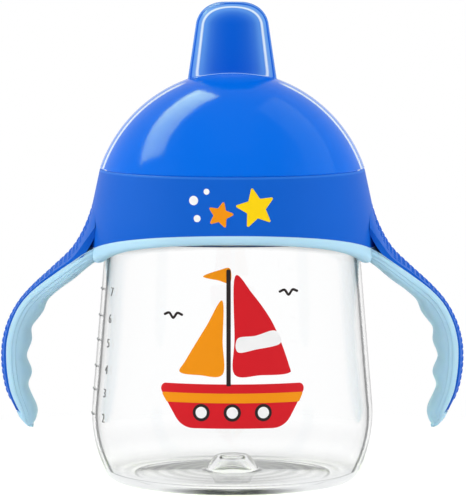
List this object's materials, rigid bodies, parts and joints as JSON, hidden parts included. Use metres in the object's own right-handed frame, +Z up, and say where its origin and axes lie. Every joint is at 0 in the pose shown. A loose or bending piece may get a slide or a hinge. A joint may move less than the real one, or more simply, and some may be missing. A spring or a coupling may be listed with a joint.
{
  "type": "sippy cup",
  "caption": "Clear toddler cup with a blue screw ring, two curved soft-grip handles, a hard spout with a valve, and a domed push-on cap.",
  "frame": {"origin": "centre of the foot ring, on the plane that the cup stands on", "axes": "+Z up along the cup's axis; the handles point along +X and -X; the printed front faces -Y"},
  "size_m": [0.129, 0.0804, 0.1338],
  "materials": {
    "clear_cup": "clear polypropylene, glossy",
    "blue_ring": "opaque blue polypropylene, satin",
    "soft_grip": "light blue thermoplastic elastomer, matt",
    "blue_cap": "translucent blue polypropylene, glossy",
    "pale_spout": "pale blue polypropylene, semi-gloss",
    "silicone": "translucent silicone, matt",
    "valve_silicone": "translucent silicone, satin"
  },
  "bodies": {
    "beaker": {"cup": "clear_cup"},
    "seal": {"seal_ring": "silicone"},
    "lid": {"spout": "pale_spout"},
    "screw_ring": {"handle_ring": "blue_ring", "soft_grip": "soft_grip"},
    "cover": {"cap": "blue_cap"},
    "plug": {"valve": "valve_silicone"}
  },
  "joints": [
    {"name": "lid_lift", "type": "slide", "parent": "beaker", "child": "seal", "axis": [0, 0, 1], "range_m": [0, 0.07]},
    {"name": "lid_rise", "type": "slide", "parent": "seal", "child": "lid", "axis": [0, 0, 1], "range_m": [0, 0.00625]},
    {"name": "ring_unscrew", "type": "hinge", "parent": "lid", "child": "screw_ring", "pos_m": [0, 0, 0.08], "axis": [0, 0, 1], "range_deg": [0, 450]},
    {"name": "cap_lift", "type": "slide", "parent": "lid", "child": "cover", "axis": [0, 0, 1], "range_m": [0, 0.06]},
    {"name": "valve_pull", "type": "slide", "parent": "lid", "child": "plug", "axis": [0, 0, -1], "range_m": [0, 0.02]}
  ],
  "couplings": [
    {"joint": "lid_rise", "follows": "ring_unscrew", "m_per_rad": 0.00079577}
  ]
}
